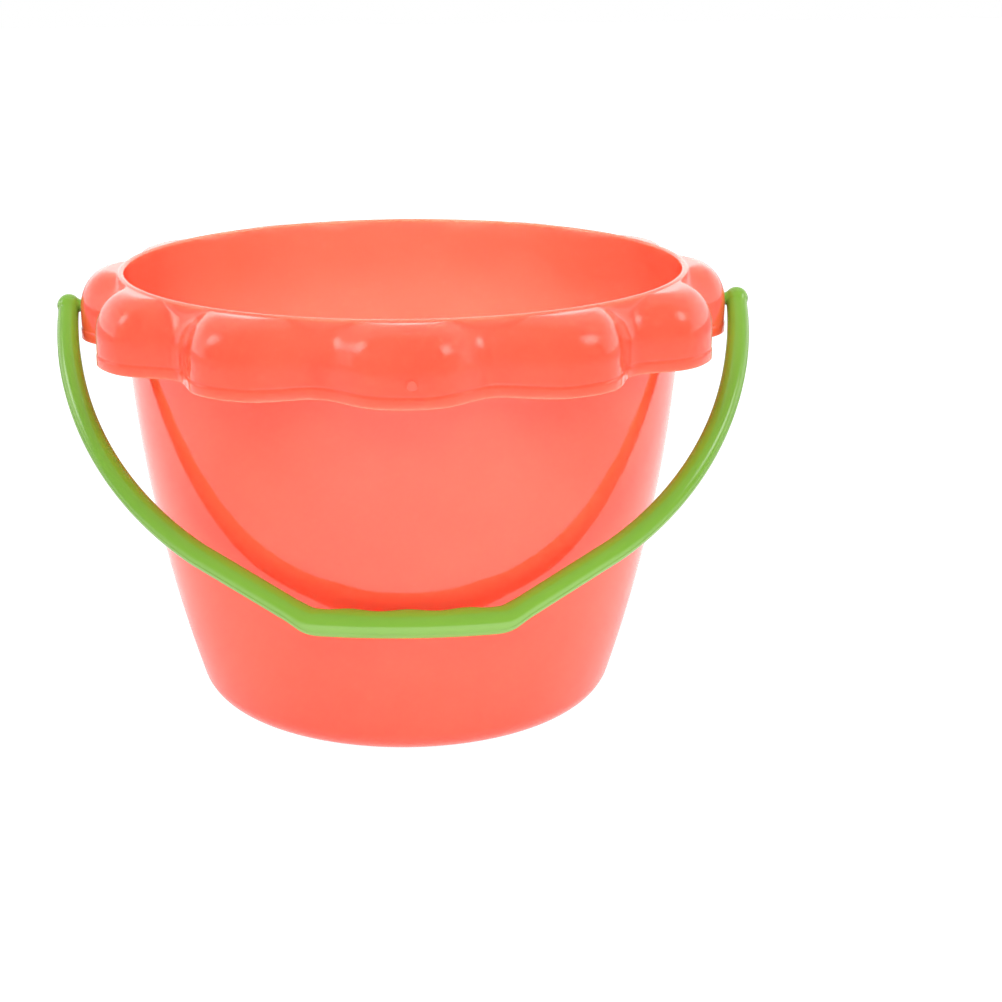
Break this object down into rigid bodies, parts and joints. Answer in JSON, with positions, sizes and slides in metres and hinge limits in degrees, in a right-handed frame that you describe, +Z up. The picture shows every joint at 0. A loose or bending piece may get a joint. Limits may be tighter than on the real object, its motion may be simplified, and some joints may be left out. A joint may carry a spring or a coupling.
{
  "type": "sand bucket",
  "caption": "Tapered round sand bucket with a scalloped hollow collar and a swinging bow handle with a finger grip.",
  "frame": {"origin": "centre of the base on the surface it stands on", "axes": "+Z up, +X along the handle's pivot axis, -Y the side the handle hangs on at rest"},
  "size_m": [0.1726, 0.1606, 0.11],
  "materials": {
    "bucket_plastic": "glossy injection-moulded coral polypropylene",
    "handle_plastic": "glossy injection-moulded leaf-green polypropylene"
  },
  "bodies": {
    "bucket": {"bucket_shell": "bucket_plastic"},
    "handle": {"bail_handle": "handle_plastic"}
  },
  "joints": [
    {"name": "handle_swing", "type": "hinge", "parent": "bucket", "child": "handle", "pos_m": [0, 0, 0.1], "axis": [-1, 0, 0], "range_deg": [0, 266]}
  ]
}
